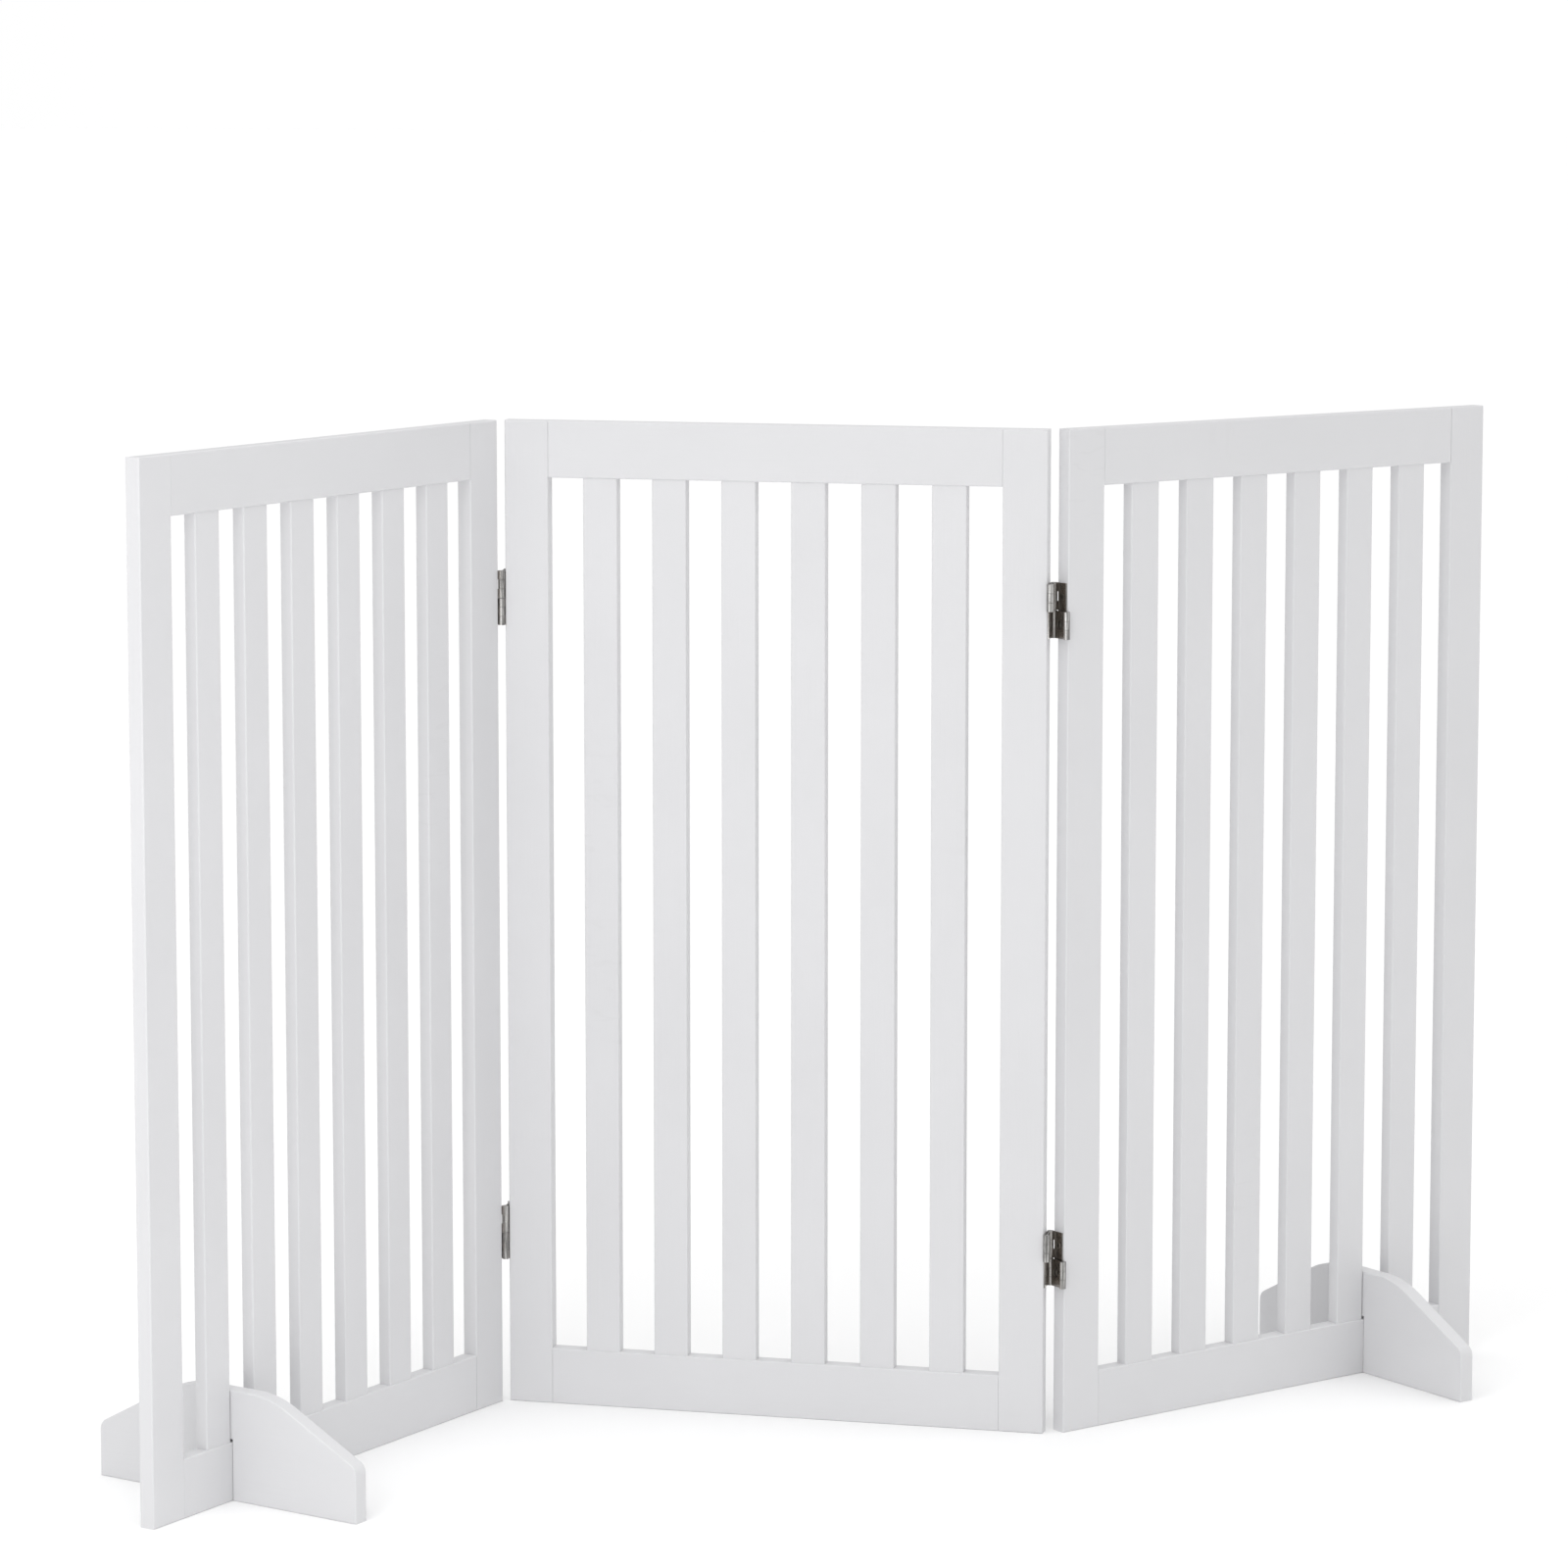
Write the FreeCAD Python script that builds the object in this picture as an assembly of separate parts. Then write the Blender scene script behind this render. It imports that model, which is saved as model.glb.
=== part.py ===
import FreeCAD, Part
import math
import os

V = FreeCAD.Vector

# ---------------------------------------------------------------- driving dimensions, mm
# Frame: origin on the floor under the middle of the middle panel and half way through its
# thickness, +X to the viewer's right, -Y toward the viewer, +Z up. Every panel is built on the
# middle panel's place, then moved to its own and folded.
PANEL_H = 915.0          # a 36 inch gate
PANEL_W = 504.0          # three of these and two hinge gaps make a 60 inch gate
PANEL_T = 15.0
STILE_W = 41.0
RAIL_H = 52.0
SLAT_W = 32.0
SLAT_T = 12.5
SLATS = 6
EDGE_R = 1.2             # rounding of every exposed long edge
TENON = 10.0             # how far each slat is let into a rail
JOINT_V = 0.5            # fine V where a rail end meets a stile

DOWEL_R = 4.0
DOWEL_L = 40.0
DOWEL_OFF = 13.0         # each dowel's distance from the rail's centre line

LEFT_FOLD = 70.5         # rest angles of the two outer panels
RIGHT_FOLD = 49.5

BARREL_R = 3.1           # hinge barrel, outside
PLATE = 1.2              # hinge steel thickness
PIN_R = 1.85
RUN = 0.05               # radial clearance of a link's knuckle on its pin
PROUD = 1.5              # hinge axes stand this far outside the panel faces
HALF_H = 25.0            # height of one half of a hinge
HALF_GAP = 0.3           # each half's end stops this far from the hinge's middle
KNUCKLE_GAP = 0.3
NOTCH = 0.45             # plate edges keep this far from a barrel
HINGE_FROM_TOP = 163.0
HINGE_FROM_FLOOR = 160.0
ACCESS_R = 3.9           # hole in a link that lets a driver reach the leaf's screw

SCREW_HEAD_R = 3.1
SCREW_R = 1.6
SCREW_L = 16.0
SCREW_TIP = 3.0
SCREW_PROUD = 0.35

FOOT_T = 15.0
FOOT_HALF = 142.0
FOOT_H = 98.0
FOOT_SLOPE = 28.0        # degrees
FOOT_FLAT = 27.0         # half length of the flat top
FOOT_TOP_R = 86.0
FOOT_TIP_R = 11.0
SLOT_PLAY = 0.5          # between the rail's faces and the slot's sides
SLOT_OVER = 3.0          # between the rail's top and the slot's
FOOT_PLAY = 0.6          # between a foot and the slat beside it

# ---------------------------------------------------------------- worked out from those
GAP = (PANEL_W - 2 * STILE_W - SLATS * SLAT_W) / (SLATS + 1)
HALF_W = PANEL_W / 2
FACE = PANEL_T / 2                # front faces lie at y = -FACE, back faces at FACE
REAR = FACE + PROUD               # y of a rear hinge axis
FRONT = -REAR
HINGE_Z = (HINGE_FROM_FLOOR, PANEL_H - HINGE_FROM_TOP)
LEFT_AXIS = -HALF_W - BARREL_R    # x of the left gap's hinge axes
RIGHT_AXIS = HALF_W + BARREL_R
SHIFT_L = -PANEL_W - 2 * BARREL_R  # from the middle panel to an unfolded outer panel
SHIFT_R = PANEL_W + 2 * BARREL_R


def box(x0, x1, y0, y1, z0, z1):
    return Part.makeBox(x1 - x0, y1 - y0, z1 - z0, V(x0, y0, z0))


def rod(radius, length, at, along):
    return Part.makeCylinder(radius, length, V(*at), V(*along))


def rounded(shape, radius, keep):
    """Fillet the edges that the test picks."""
    return shape.makeFillet(radius, [e for e in shape.Edges if keep(e)])


def runs_along(edge, axis):
    a, b = edge.Vertexes[0].Point, edge.Vertexes[-1].Point
    d = b - a
    return abs(getattr(d, axis)) > 0.999 * d.Length


# ---------------------------------------------------------------- woodwork of one panel
def frame_boards():
    """Two stiles and two rails, cut from one rounded frame so that their faces run flush."""
    inner = (-HALF_W + STILE_W, HALF_W - STILE_W)
    low, high = -FACE - 1, FACE + 1
    blank = box(-HALF_W, HALF_W, -FACE, FACE, 0, PANEL_H).cut(
        box(*inner, low, high, RAIL_H, PANEL_H - RAIL_H))
    blank = rounded(blank, EDGE_R, lambda e: not runs_along(e, "y"))
    boards = {
        "left": blank.common(box(-HALF_W - 1, inner[0], low, high, -1, PANEL_H + 1)),
        "right": blank.common(box(inner[1], HALF_W + 1, low, high, -1, PANEL_H + 1)),
        "bottom": blank.common(box(*inner, low, high, -1, RAIL_H + 1)),
        "top": blank.common(box(*inner, low, high, PANEL_H - RAIL_H - 1, PANEL_H + 1)),
    }
    for name in ("bottom", "top"):
        for x, side in ((inner[0], 1), (inner[1], -1)):
            boards[name] = boards[name].cut(joint_v(x, side))
    return boards


def joint_v(x, side):
    """The fine V cut round a rail's end on its front and back faces."""
    cuts = []
    for y, inward in ((-FACE, 1), (FACE, -1)):
        corner = [V(x, y, -1), V(x + side * JOINT_V, y, -1), V(x, y + inward * JOINT_V, -1)]
        face = Part.Face(Part.makePolygon(corner + corner[:1]))
        cuts.append(face.extrude(V(0, 0, PANEL_H + 2)))
    return cuts[0].fuse(cuts[1])


def slat_left(n):
    """x of slat n's left side, counted from the left."""
    return -HALF_W + STILE_W + n * GAP + (n - 1) * SLAT_W


def slat(n):
    x = slat_left(n)
    blank = box(x, x + SLAT_W, -SLAT_T / 2, SLAT_T / 2, RAIL_H - TENON, PANEL_H - RAIL_H + TENON)
    return rounded(blank, EDGE_R, lambda e: runs_along(e, "z"))


def dowels():
    out = []
    for x in (-HALF_W + STILE_W, HALF_W - STILE_W):
        for rail in (RAIL_H / 2, PANEL_H - RAIL_H / 2):
            for off in (-DOWEL_OFF, DOWEL_OFF):
                at = (x - DOWEL_L / 2, 0, rail + off)
                out.append(rod(DOWEL_R, DOWEL_L, at, (1, 0, 0)))
    return out


# ---------------------------------------------------------------- hinges
def screw_blank(edge_x, into, z):
    """A countersunk screw without its recess. It goes into the stile the way "into" points."""
    top = edge_x - into * (PLATE + SCREW_PROUD)
    cone = SCREW_HEAD_R - SCREW_R

    def at(depth):
        return V(top + into * depth, 0, z)

    axis = V(into, 0, 0)
    return Part.makeCylinder(SCREW_HEAD_R, SCREW_PROUD, at(0), axis).fuse([
        Part.makeCone(SCREW_HEAD_R, SCREW_R, cone, at(SCREW_PROUD), axis),
        Part.makeCylinder(SCREW_R, SCREW_L - SCREW_TIP - 1, at(1), axis),
        Part.makeCone(SCREW_R, 0.3, SCREW_TIP, at(SCREW_L - SCREW_TIP), axis),
    ]).removeSplitter()


def recessed(blank, edge_x, into, z):
    """The screw with the cross in its head."""
    top = edge_x - into * (PLATE + SCREW_PROUD)
    a, b = sorted((top - into, top + into * 1.4))
    for w, h in ((0.45, 1.75), (1.75, 0.45)):
        blank = blank.cut(box(a, b, -w, w, z - h, z + h))
    return blank


def half_span(z, upper):
    """Floor and top of one half of the hinge centred on z."""
    return (z + HALF_GAP, z + HALF_H) if upper else (z - HALF_H, z - HALF_GAP)


def rows(z, upper):
    """The three knuckle rows of one half, bottom to top."""
    low, high = half_span(z, upper)
    h = (high - low - 2 * KNUCKLE_GAP) / 3
    return [(low + n * (h + KNUCKLE_GAP), low + n * (h + KNUCKLE_GAP) + h) for n in range(3)]


def knuckle(x, y, span, arm_x, arm_end):
    """A curled knuckle on the axis x, y, with its arm at arm_x that runs to y = arm_end."""
    low, high = span
    ring = rod(BARREL_R, high - low, (x, y, low), (0, 0, 1))
    y0, y1 = sorted((y, arm_end))
    return ring.fuse(box(arm_x[0], arm_x[1], y0, y1, low, high))


def leaf(axis_x, edge_x, front_upper, z):
    """A leaf on the stile edge at edge_x. It has one barrel in each half, one per axis."""
    near = sorted((edge_x, edge_x + math.copysign(PLATE, axis_x - edge_x)))
    y0, y1 = FRONT + BARREL_R + NOTCH, REAR - BARREL_R - NOTCH
    plate = box(near[0], near[1], y0, y1, z - HALF_H, z + HALF_H)
    bores = []
    for upper in (True, False):
        y = FRONT if upper == front_upper else REAR
        low, high = half_span(z, upper)
        for span in (rows(z, upper)[0], rows(z, upper)[2]):
            plate = plate.fuse(knuckle(axis_x, y, span, near, 0))
        bores.append(rod(PIN_R, high - low + 2, (axis_x, y, low - 1), (0, 0, 1)))
    plate = plate.cut(Part.makeCompound(bores))
    return plate.removeSplitter()


def link(axis_x, upper, z):
    """A link joins a front barrel to the rear barrel of the other leaf, in one half."""
    low, high = half_span(z, upper)
    y0, y1 = FRONT + BARREL_R + NOTCH, REAR - BARREL_R - NOTCH
    arm = (axis_x - PLATE / 2, axis_x + PLATE / 2)
    plate = box(arm[0], arm[1], y0, y1, low, high)
    span = rows(z, upper)[1]
    for y in (FRONT, REAR):
        plate = plate.fuse(knuckle(axis_x, y, span, arm, 0))
    for y in (FRONT, REAR):
        plate = plate.cut(rod(PIN_R + RUN, HALF_H, (axis_x, y, low - 1), (0, 0, 1)))
    middle = (low + high) / 2
    return plate.cut(rod(ACCESS_R, 4, (axis_x - 2, 0, middle), (1, 0, 0))).removeSplitter()


def pin(axis_x, upper, y, z):
    low, high = half_span(z, upper)
    body = rod(PIN_R, high - low, (axis_x, y, low), (0, 0, 1))
    return rounded(body, 0.3, lambda e: e.Length < 2.1 * math.pi * PIN_R and e.Closed)


def leaf_pins(axis_x, front_upper):
    """The pins held by the two leaves on one side of a gap."""
    out = []
    for z in HINGE_Z:
        for upper in (True, False):
            y = FRONT if upper == front_upper else REAR
            out.append(pin(axis_x, upper, y, z))
    return out


# ---------------------------------------------------------------- feet
def foot(centre_x):
    """A board across the panel, with its profile drawn in y and z."""
    slope = math.radians(FOOT_SLOPE)
    # the top arc ends where it is as steep as the straight slope that follows it
    arc_y = FOOT_FLAT + FOOT_TOP_R * math.sin(slope)
    arc_z = FOOT_H - FOOT_TOP_R * (1 - math.cos(slope))
    mid_y = FOOT_FLAT + FOOT_TOP_R * math.sin(slope / 2)
    mid_z = FOOT_H - FOOT_TOP_R * (1 - math.cos(slope / 2))
    corner_z = arc_z - (FOOT_HALF - arc_y) * math.tan(slope)

    def at(y, z, side):
        return V(0, side * y, z)

    edges = [Part.makeLine(at(FOOT_FLAT, FOOT_H, -1), at(FOOT_FLAT, FOOT_H, 1))]
    for side in (1, -1):
        edges += [
            Part.Arc(at(FOOT_FLAT, FOOT_H, side), at(mid_y, mid_z, side),
                     at(arc_y, arc_z, side)).toShape(),
            Part.makeLine(at(arc_y, arc_z, side), at(FOOT_HALF, corner_z, side)),
            Part.makeLine(at(FOOT_HALF, corner_z, side), at(FOOT_HALF, 0, side)),
        ]
    edges.append(Part.makeLine(at(FOOT_HALF, 0, -1), at(FOOT_HALF, 0, 1)))
    face = Part.Face(Part.Wire(Part.__sortEdges__(edges)))
    board = face.extrude(V(FOOT_T, 0, 0))
    board.translate(V(centre_x - FOOT_T / 2, 0, 0))
    tips = [e for e in board.Edges
            if runs_along(e, "x") and abs(e.Vertexes[0].Z - corner_z) < 0.01
            and abs(abs(e.Vertexes[0].Y) - FOOT_HALF) < 0.01]
    board = board.makeFillet(FOOT_TIP_R, tips)
    board = rounded(board, EDGE_R, lambda e: not runs_along(e, "x"))
    half_slot = PANEL_T / 2 + SLOT_PLAY
    return board.cut(box(centre_x - FOOT_T, centre_x + FOOT_T, -half_slot, half_slot,
                         -1, RAIL_H + SLOT_OVER))


# ---------------------------------------------------------------- assembly
def placed(side, shape):
    """Put a shape of one panel where that panel stands at rest."""
    if side == "middle":
        return shape
    left = side == "left"
    shape = shape.copy()
    shape.translate(V(SHIFT_L if left else SHIFT_R, 0, 0))
    axis = V(LEFT_AXIS, FRONT, 0) if left else V(RIGHT_AXIS, REAR, 0)
    shape.rotate(axis, V(0, 0, 1), LEFT_FOLD if left else RIGHT_FOLD)
    return shape


def panel_nodes(side):
    """The wood, screws and pins of one panel, with the leaves on its stile edges."""
    boards, pegs = frame_boards(), dowels()
    slats = [slat(n) for n in range(1, SLATS + 1)]
    # (stile, edge x, direction into the wood, gap's name, hinge axis x)
    seats = []
    if side != "left":
        gap = "left_gap" if side == "middle" else "right_gap"
        seats.append(("left", -HALF_W, 1, gap, -HALF_W - BARREL_R))
    if side != "right":
        gap = "right_gap" if side == "middle" else "left_gap"
        seats.append(("right", HALF_W, -1, gap, HALF_W + BARREL_R))

    out, screws = {}, []
    for stile, edge_x, into, gap, axis_x in seats:
        # the leaf on the left of a gap has its front barrel in the upper half
        front_upper = into == -1
        for z, place in zip(HINGE_Z, ("lower", "upper")):
            plate = leaf(axis_x, edge_x, front_upper, z)
            for half in (-HALF_H / 2, HALF_H / 2):
                blank = screw_blank(edge_x, into, z + half)
                plate = plate.cut(blank)
                boards[stile] = boards[stile].cut(blank)
                screws.append(recessed(blank, edge_x, into, z + half))
            out[f"{gap}_{place}_hinge_{side}_leaf"] = plate
        out[f"{gap}_{side}_pins"] = Part.makeCompound(leaf_pins(axis_x, front_upper))

    holes = Part.makeCompound(pegs)
    mortises = Part.makeCompound(slats)
    names = {"left": "left_stile", "right": "right_stile",
             "top": "top_rail", "bottom": "bottom_rail"}
    if side == "left":
        names.update(left="outer_stile", right="inner_stile")
    elif side == "right":
        names.update(left="inner_stile", right="outer_stile")
    for key, name in names.items():
        board = boards[key].cut(holes)
        if key in ("top", "bottom"):
            board = board.cut(mortises)
        out[f"{side}_{name}"] = board
    for n, shape in enumerate(slats, 1):
        out[f"{side}_slat_{n}"] = shape
    out[f"{side}_dowels"] = Part.makeCompound(pegs)
    out[f"{side}_screws"] = Part.makeCompound(screws)
    return {name: placed(side, shape) for name, shape in out.items()}


def link_nodes():
    """Upper links stay with the middle panel as it folds, lower links with the outer one."""
    out = {}
    for gap, axis_x, outer in (("left_gap", LEFT_AXIS, "left"), ("right_gap", RIGHT_AXIS, "right")):
        for z, place in zip(HINGE_Z, ("lower", "upper")):
            out[f"{gap}_{place}_hinge_upper_link"] = link(axis_x, True, z)
            swung = link(axis_x, False, z)
            y = FRONT if outer == "left" else REAR
            swung.rotate(V(axis_x, y, 0), V(0, 0, 1), LEFT_FOLD if outer == "left" else RIGHT_FOLD)
            out[f"{gap}_{place}_hinge_lower_link"] = swung
    return out


def foot_nodes():
    """Each foot stands in a slat gap, against the right side of the slat before it."""
    left_x = slat_left(1) + SLAT_W + FOOT_PLAY + FOOT_T / 2
    right_x = slat_left(SLATS - 1) + SLAT_W + FOOT_PLAY + FOOT_T / 2
    return {"left_foot": placed("left", foot(left_x)),
            "right_foot": placed("right", foot(right_x))}


nodes = {}
for side in ("left", "middle", "right"):
    nodes.update(panel_nodes(side))
nodes.update(link_nodes())
nodes.update(foot_nodes())

os.makedirs("parts", exist_ok=True)
for name, shape in nodes.items():
    assert shape.isValid(), name
    shape.exportStep(f"parts/{name}.step")
print(len(nodes), "nodes")
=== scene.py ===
import math

import bpy
from mathutils import Euler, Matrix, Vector


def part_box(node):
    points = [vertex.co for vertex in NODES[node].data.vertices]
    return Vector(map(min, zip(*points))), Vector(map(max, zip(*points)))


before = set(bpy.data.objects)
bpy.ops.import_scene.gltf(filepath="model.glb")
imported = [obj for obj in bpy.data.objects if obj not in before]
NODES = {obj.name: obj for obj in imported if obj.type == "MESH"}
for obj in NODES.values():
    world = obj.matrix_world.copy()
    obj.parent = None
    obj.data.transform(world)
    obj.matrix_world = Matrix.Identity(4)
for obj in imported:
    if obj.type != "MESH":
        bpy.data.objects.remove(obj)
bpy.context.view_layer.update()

# A pet gate: three slatted panels in white paint, on bright steel hinges, with a foot under each
# outer panel. The middle panel lies along X, the left one comes toward the viewer at -Y and the
# right one goes away. Lengths are in metres, angles in radians unless a name says degrees.

MIDDLE_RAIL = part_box("middle_bottom_rail")


def rail_turn(side):
    """The angle from +X of a panel's bottom rail at rest, whichever way it turns."""
    low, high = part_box(f"{side}_bottom_rail")
    span, depth = high.x - low.x, high.y - low.y
    length = MIDDLE_RAIL[1].x - MIDDLE_RAIL[0].x
    thick = MIDDLE_RAIL[1].y - MIDDLE_RAIL[0].y
    # the box of a turned board is length*cos + thick*sin by length*sin + thick*cos
    cosine = (span * length - depth * thick) / (length ** 2 - thick ** 2)
    return math.acos(max(-1.0, min(1.0, cosine)))


TURN = {side: rail_turn(side) for side in ("left", "middle", "right")}


# ---------------------------------------------------------------- node helpers
MIX_FACTOR, MIX_A, MIX_B, MIX_RESULT = 0, 6, 7, 2     # the Mix node's sockets for colours


class Tree:
    """A short way to write a material's nodes."""

    def __init__(self, name):
        self.mat = bpy.data.materials.new(name)
        self.mat.use_nodes = True
        self.nodes = self.mat.node_tree.nodes
        self.links = self.mat.node_tree.links
        self.shader = self.nodes["Principled BSDF"]

    def add(self, kind, inputs=None, **settings):
        node = self.nodes.new(kind)
        for key, value in settings.items():
            setattr(node, key, value)
        for key, value in (inputs or {}).items():
            self.put(node, key, value)
        return node

    def put(self, node, key, value):
        """Links a socket to an input, or sets the input to a plain value."""
        if isinstance(value, bpy.types.NodeSocket):
            self.links.new(value, node.inputs[key])
        else:
            node.inputs[key].default_value = value

    def math(self, op, a, b=None, c=None, clamp=False):
        node = self.add("ShaderNodeMath", operation=op, use_clamp=clamp)
        for n, value in enumerate((a, b, c)):
            if value is not None:
                self.put(node, n, value)
        return node.outputs[0]

    def vector(self, op, a, b, output="Vector"):
        return self.add("ShaderNodeVectorMath", {0: a, 1: b}, operation=op).outputs[output]

    def ramp(self, factor, *stops):
        """Each stop is a place from 0 to 1 and a colour of three numbers."""
        node = self.add("ShaderNodeValToRGB", {"Fac": factor})
        elements = node.color_ramp.elements
        while len(elements) < len(stops):
            elements.new(0.5)
        for element, (place, value) in zip(elements, stops):
            element.position = place
            element.color = (*value, 1)
        return node.outputs["Color"]

    def rise(self, factor, low, high):
        """0 below low, 1 above high and a straight slope between them."""
        return self.ramp(factor, (low, (0, 0, 0)), (high, (1, 1, 1)))

    def fall(self, factor, low, high):
        """1 below low, 0 above high."""
        return self.ramp(factor, (low, (1, 1, 1)), (high, (0, 0, 0)))

    def noise(self, vector, scale, detail=3.0, rough=0.5, distortion=0.0):
        node = self.add("ShaderNodeTexNoise", {
            "Vector": vector, "Scale": scale, "Detail": detail,
            "Roughness": rough, "Distortion": distortion})
        return node.outputs["Fac"]

    def mix(self, factor, a, b):
        """a where factor is 0, b where it is 1."""
        node = self.add("ShaderNodeMix", data_type="RGBA")
        for key, value in ((MIX_FACTOR, factor), (MIX_A, a), (MIX_B, b)):
            self.put(node, key, (*value, 1) if isinstance(value, tuple) else value)
        return node.outputs[MIX_RESULT]

    def bump(self, height, distance, strength, normal=None):
        node = self.add("ShaderNodeBump", {
            "Height": height, "Distance": distance, "Strength": strength})
        if normal is not None:
            self.put(node, "Normal", normal)
        return node.outputs["Normal"]

    def set(self, **values):
        """Sets the shader's own sockets, with _ for a space in their names."""
        for key, value in values.items():
            self.put(self.shader, key.replace("_", " "), value)


def shaded(colour, factor):
    return tuple(c * factor for c in colour)


def board_coordinates(tree, turn, along_x):
    """Coordinates in metres with X along the board's grain, shifted for every board."""
    place = tree.add("ShaderNodeTexCoord").outputs["Object"]
    turned = tree.add("ShaderNodeVectorRotate", {"Vector": place, "Angle": -turn},
                      rotation_type="Z_AXIS").outputs[0]
    if not along_x:
        turned = tree.add("ShaderNodeVectorRotate", {"Vector": turned, "Angle": math.pi / 2},
                          rotation_type="Y_AXIS").outputs[0]
    which = tree.add("ShaderNodeObjectInfo").outputs["Random"]
    shift = tree.add("ShaderNodeCombineXYZ", {
        "X": tree.math("MULTIPLY", which, BOARD_SHIFT[0]),
        "Y": tree.math("MULTIPLY", which, BOARD_SHIFT[1])})
    return tree.vector("ADD", turned, shift.outputs[0])


def stretched(tree, vector, squeeze):
    """Noise read through this runs in streaks along X."""
    return tree.vector("MULTIPLY", vector, (squeeze, 1.0, 1.0))


# ---------------------------------------------------------------- materials
PAINT = (0.675, 0.675, 0.688)
PAINT_CLOUD = shaded(PAINT, 0.975)
PAINT_PORE = (0.66, 0.655, 0.64)
PAINT_WORN = (0.72, 0.715, 0.705)
PAINT_SCUFF = (0.45, 0.44, 0.43)
PAINT_ROUGH = 0.36
PAINT_IOR = 1.47
PAINT_SPECULAR = 0.45
BOARD_SHIFT = (7.0, 3.0)                # how far apart two boards may read the grain
GRAIN_HEIGHT, BRUSH_HEIGHT, PEEL_HEIGHT = 0.00022, 0.00006, 0.00003
EDGE_RADIUS = 0.0016                    # how near a corner the paint wears thin

STEEL = (0.50, 0.492, 0.478)
STEEL_ROUGH = 0.16
PIN = (0.60, 0.59, 0.57)
PIN_ROUGH = 0.26
SCREW = (0.58, 0.56, 0.52)
SCREW_ROUGH = 0.28
PAINTED_STREAK_SHADE = 0.34                     # a painted dark reflection streak, beside the bright steel
STEEL_PIT = (0.22, 0.21, 0.20)
# painted dark reflection on flat hinge plates, standing in for the dark gap seen in them
STEEL_PAINTED_REFLECTION = (0.42, 0.386, 0.352)
# painted shade: the colour hinge steel is darkened to where other parts are near and shade falls
STEEL_PAINTED_SHADE = (0.27, 0.25, 0.23)
SHADE_REACH = 0.012                     # a face with others this near gets painted shade
LINE_HEIGHT, PIT_DEPTH = 0.00002, 0.00004

DOWEL_DARK, DOWEL_LIGHT = (0.52, 0.36, 0.20), (0.70, 0.53, 0.34)
DOWEL_ROUGH = 0.6
RING_HEIGHT = 0.0002


def painted_wood(name, turn, along_x):
    """Satin white paint on wood: grain that telegraphs through, brush drag, worn edges, scuffs."""
    t = Tree(name)
    at = board_coordinates(t, turn, along_x)
    grain = t.noise(stretched(t, at, 0.045), 210.0, detail=5.0, rough=0.6, distortion=0.6)
    drag = t.noise(stretched(t, at, 0.02), 900.0, detail=2.0)
    cloud = t.noise(at, 6.0, rough=0.55)
    peel = t.noise(at, 1400.0, detail=1.0)
    pores = t.rise(t.noise(stretched(t, at, 0.03), 620.0, detail=2.0, rough=0.7), 0.62, 0.70)
    smear = scuffs(t, at)

    tone = t.mix(t.rise(cloud, 0.35, 0.70), PAINT, PAINT_CLOUD)
    tone = t.mix(t.math("MULTIPLY", pores, 0.05), tone, PAINT_PORE)
    tone = t.mix(t.math("MULTIPLY", edge_wear(t, at), 0.35), tone, PAINT_WORN)
    tone = t.mix(t.math("MULTIPLY", smear, 0.05), tone, PAINT_SCUFF)

    rough = t.math("ADD", PAINT_ROUGH, t.math("MULTIPLY", cloud, 0.10))
    rough = t.math("ADD", rough, t.math("MULTIPLY", drag, 0.06))
    rough = t.math("ADD", rough, t.math("MULTIPLY", smear, 0.15))
    normal = t.bump(grain, GRAIN_HEIGHT, 0.55)
    normal = t.bump(drag, BRUSH_HEIGHT, 0.5, normal)
    normal = t.bump(peel, PEEL_HEIGHT, 0.5, normal)
    t.set(Base_Color=tone, Roughness=rough, Normal=normal,
          IOR=PAINT_IOR, Specular_IOR_Level=PAINT_SPECULAR)
    return t.mat


def edge_wear(t, at):
    """Broken patches along rounded edges, where paint is thin."""
    soft = t.add("ShaderNodeBevel", {"Radius": EDGE_RADIUS}, samples=6).outputs[0]
    true = t.add("ShaderNodeNewGeometry").outputs["Normal"]
    bend = t.math("SUBTRACT", 1.0, t.vector("DOT_PRODUCT", soft, true, output="Value"))
    patch = t.noise(at, 38.0, detail=4.0, rough=0.65)
    return t.math("MULTIPLY", t.rise(bend, 0.015, 0.12), t.rise(patch, 0.56, 0.68))


def scuffs(t, at):
    """A few faint rubbed marks, short and across the boards."""
    across = t.vector("MULTIPLY", at, (2.2, 0.6, 0.6))
    line = t.noise(across, 55.0, detail=2.0, rough=0.4, distortion=0.8)
    where = t.noise(at, 3.1, detail=1.0)
    return t.math("MULTIPLY", t.rise(line, 0.60, 0.66), t.rise(where, 0.66, 0.72))


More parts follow.
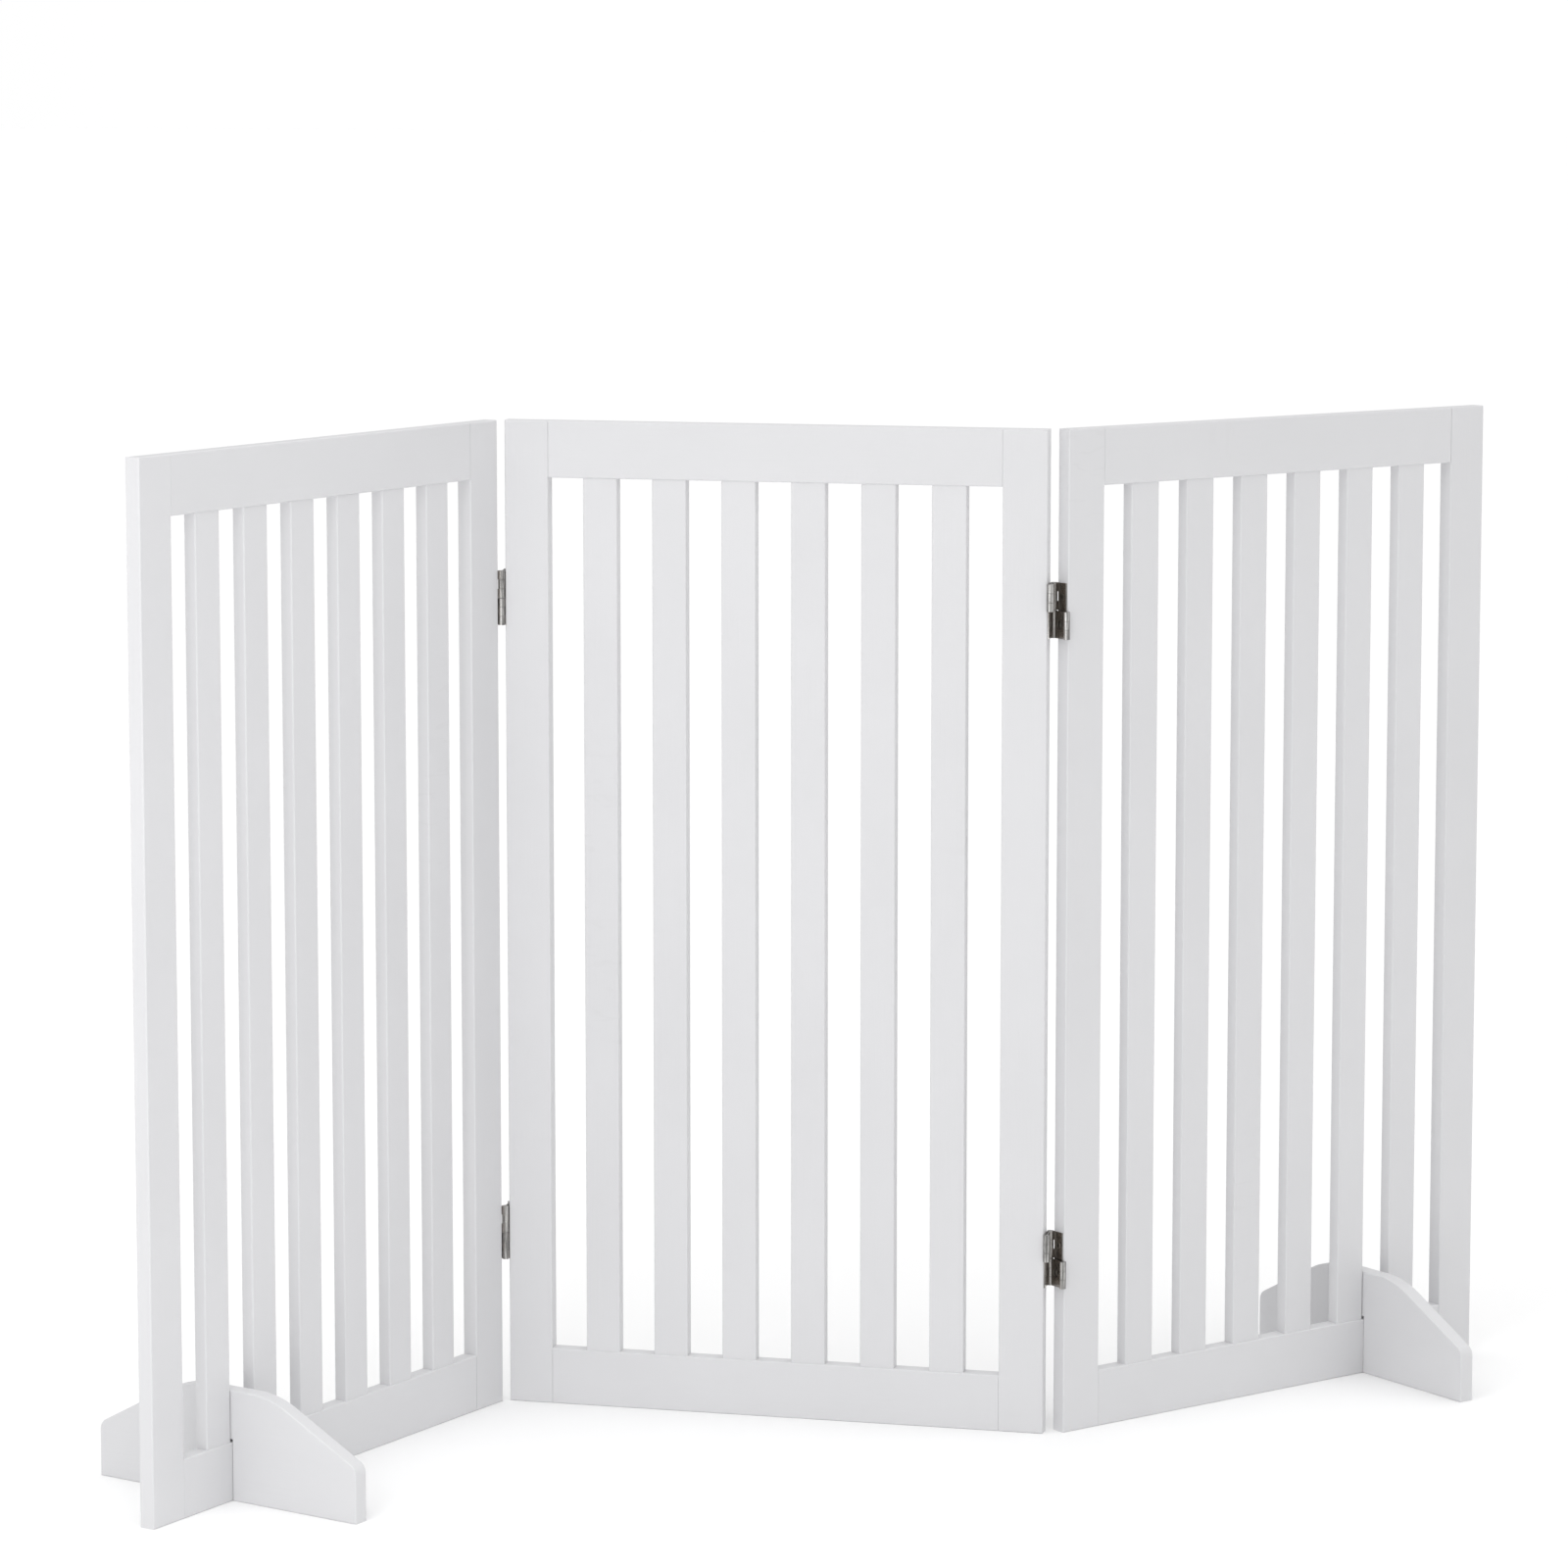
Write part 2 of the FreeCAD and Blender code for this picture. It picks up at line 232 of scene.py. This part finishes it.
def plated_steel(name, colour, rough, turn=None):
    """Bright plated steel: fine drawn lines up and down as bumps, painted dark reflection streaks
    up and down, and painted shade where it is enclosed. Where turn is given, flat plates that face
    along that panel carry a painted dark reflection as well, in patches."""
    t = Tree(name)
    coordinates = t.add("ShaderNodeTexCoord")
    place = coordinates.outputs["Object"]
    upright = t.vector("MULTIPLY", place, (1.0, 1.0, 0.05))
    lines = t.noise(upright, 2600.0, detail=2.0)
    reflection_streaks = t.noise(upright, 620.0, rough=0.6)
    cloud = t.noise(place, 240.0, rough=0.6)
    pits = t.rise(t.noise(place, 1500.0, detail=2.0, rough=0.6), 0.66, 0.74)
    # painted shade: darker where other faces are near, standing in for the shade between the hinge
    # parts
    hollow = t.add("ShaderNodeAmbientOcclusion", {"Distance": SHADE_REACH}, samples=6)
    shade_where_enclosed = t.fall(hollow.outputs["AO"], 0.30, 0.85)

    # painted reflection: dark streaks in the colour, standing in for a room with contrast seen in
    # the steel
    tone = t.mix(t.rise(reflection_streaks, 0.40, 0.60), colour, shaded(colour, PAINTED_STREAK_SHADE))
    tone = t.mix(t.math("MULTIPLY", pits, 0.35), tone, STEEL_PIT)
    # painted reflection: flat plates facing along the panel are darkened in patches, for the dark
    # gap they reflect
    if turn is not None:
        along = (math.cos(turn), math.sin(turn), 0.0)
        facing = t.vector("DOT_PRODUCT", coordinates.outputs["Normal"], along, output="Value")
        dark_reflection = t.rise(t.math("ABSOLUTE", facing), 0.93, 0.985)
        patchy = t.math("MULTIPLY_ADD", cloud, 0.5, 0.55, clamp=True)
        tone = t.mix(t.math("MULTIPLY", dark_reflection, patchy), tone, STEEL_PAINTED_REFLECTION)
    tone = t.mix(t.math("MULTIPLY", shade_where_enclosed, 0.82), tone, STEEL_PAINTED_SHADE)

    rough = t.math("ADD", rough, t.math("MULTIPLY", cloud, 0.10))
    rough = t.math("ADD", rough, t.math("MULTIPLY", shade_where_enclosed, 0.15))
    normal = t.bump(lines, LINE_HEIGHT, 0.6)
    normal = t.bump(pits, -PIT_DEPTH, 0.6, normal)
    t.set(Base_Color=tone, Roughness=rough, Normal=normal, Metallic=1.0)
    return t.mat


def bare_wood(name):
    """Turned hardwood dowels, hidden in the joints."""
    t = Tree(name)
    place = t.add("ShaderNodeTexCoord").outputs["Object"]
    rings = t.noise(place, 420.0, detail=4.0, rough=0.6, distortion=0.5)
    t.set(Base_Color=t.ramp(rings, (0.3, DOWEL_DARK), (0.7, DOWEL_LIGHT)),
          Roughness=t.math("ADD", DOWEL_ROUGH, t.math("MULTIPLY", rings, 0.2)),
          Normal=t.bump(rings, RING_HEIGHT, 0.6))
    return t.mat


# ---------------------------------------------------------------- which piece gets which material
HINGE_STEEL = {side: plated_steel(f"hinge_plate_{side}", STEEL, STEEL_ROUGH, TURN[side])
               for side in TURN}
PIN_STEEL = plated_steel("hinge_pin", PIN, PIN_ROUGH)
SCREW_STEEL = plated_steel("screw_plate", SCREW, SCREW_ROUGH)
DOWEL = bare_wood("dowel_wood")
UPRIGHT = {side: painted_wood(f"paint_{side}_upright", TURN[side], False) for side in TURN}
LEVEL = {side: painted_wood(f"paint_{side}_rail", TURN[side], True) for side in TURN}
FOOT = {side: painted_wood(f"paint_{side}_foot", TURN[side] + math.pi / 2, True)
        for side in ("left", "right")}


def material_of(node):
    """A node's name starts with its panel or gap and ends with the kind of piece it is."""
    words = node.split("_")
    side, kind = words[0], words[-1]
    if kind == "leaf":
        return HINGE_STEEL[words[-2]]
    if kind == "link":
        return HINGE_STEEL["middle" if words[-2] == "upper" else side]
    if kind == "rail":
        return LEVEL[side]
    if kind == "foot":
        return FOOT[side]
    return {"dowels": DOWEL, "screws": SCREW_STEEL, "pins": PIN_STEEL}.get(kind, UPRIGHT[side])


for node in NODES:
    slots = NODES[node].data.materials
    slots.clear()
    slots.append(material_of(node))


# ---------------------------------------------------------------- floor, light and camera
FLOOR_HALF = 60.0                       # far past the edge of the picture
FLOOR_DARK, FLOOR_LIGHT = (0.965, 0.965, 0.965), (0.975, 0.975, 0.975)
SKY_BANDS = ((0.0, 1.08), (0.04, 1.08), (0.09, 0.33), (0.9, 1.36))
SKY_LEAN = (0.2, 0.0, 0.0)              # a little brighter on the right
CAMERA_LENS = 120.2                     # mm on the sensor: a long lens from across a room
CAMERA_SENSOR = 36.0                    # mm
CAMERA_AT = (1.111, -4.578, 1.268)      # to the right of the gate and above it
CAMERA_DEGREES = (-6.61, 13.54)         # looking down, turned to the left
CAMERA_RISE = -0.094                    # the gate stands below the middle of the picture
CAMERA_REACH = 200.0


def floor():
    half = FLOOR_HALF
    mesh = bpy.data.meshes.new("floor")
    mesh.from_pydata([(-half, -half, 0), (half, -half, 0), (half, half, 0), (-half, half, 0)],
                     [], [(0, 1, 2, 3)])
    obj = bpy.data.objects.new("floor", mesh)
    bpy.context.scene.collection.objects.link(obj)
    t = Tree("pale_floor")
    cloud = t.noise(t.add("ShaderNodeTexCoord").outputs["Object"], 0.8)
    t.set(Base_Color=t.ramp(cloud, (0.3, FLOOR_DARK), (0.7, FLOOR_LIGHT)),
          Roughness=0.9, Specular_IOR_Level=0.1)
    mesh.materials.append(t.mat)


def sky():
    """A soft white room, in bands from the horizon up, brighter on the side it leans to."""
    world = bpy.data.worlds.new("studio")
    world.use_nodes = True
    nodes, links = world.node_tree.nodes, world.node_tree.links
    place = nodes.new("ShaderNodeTexCoord").outputs["Generated"]
    split = nodes.new("ShaderNodeSeparateXYZ")
    links.new(place, split.inputs[0])
    up = nodes.new("ShaderNodeValToRGB")
    elements = up.color_ramp.elements
    while len(elements) < len(SKY_BANDS):
        elements.new(0.5)
    for element, (height, value) in zip(elements, SKY_BANDS):
        element.position = height
        element.color = (value, value, value, 1)
    links.new(split.outputs["Z"], up.inputs["Fac"])
    lean = nodes.new("ShaderNodeVectorMath")
    lean.operation = "DOT_PRODUCT"
    lean.inputs[1].default_value = SKY_LEAN
    links.new(place, lean.inputs[0])
    strength = nodes.new("ShaderNodeMath")     # the band, and the band again times the lean
    strength.operation = "MULTIPLY_ADD"
    links.new(lean.outputs["Value"], strength.inputs[0])
    links.new(up.outputs["Color"], strength.inputs[1])
    links.new(up.outputs["Color"], strength.inputs[2])
    background = nodes["Background"]
    background.inputs["Color"].default_value = (1.0, 1.0, 1.0, 1)
    links.new(strength.outputs[0], background.inputs["Strength"])
    bpy.context.scene.world = world


def softbox(name, at, towards, width, power):
    """A square soft light that the camera doesn't see."""
    data = bpy.data.lights.new(name, "AREA")
    data.shape = "RECTANGLE"
    data.size = data.size_y = width
    data.energy = power
    obj = bpy.data.objects.new(name, data)
    obj.location = at
    aim = Vector(towards) - Vector(at)
    obj.rotation_euler = aim.to_track_quat("-Z", "Y").to_euler()
    obj.visible_camera = False
    bpy.context.scene.collection.objects.link(obj)


def camera():
    data = bpy.data.cameras.new("camera")
    data.sensor_width = CAMERA_SENSOR
    data.lens = CAMERA_LENS
    data.shift_y = CAMERA_RISE
    data.clip_end = CAMERA_REACH
    obj = bpy.data.objects.new("camera", data)
    obj.location = CAMERA_AT
    pitch, yaw = (math.radians(angle) for angle in CAMERA_DEGREES)
    obj.rotation_euler = Euler((math.pi / 2 + pitch, 0.0, yaw), "XYZ")
    bpy.context.scene.collection.objects.link(obj)
    bpy.context.scene.camera = obj


floor()
sky()
softbox("key", at=(-0.4, -1.6, 2.6), towards=(-0.1, 0.0, 0.4), width=1.1, power=5.0)
softbox("low_key", at=(-0.5, -1.9, 0.9), towards=(-0.25, 0.0, 0.3), width=1.0, power=7.2)
camera()
bpy.context.scene.view_settings.view_transform = "Standard"
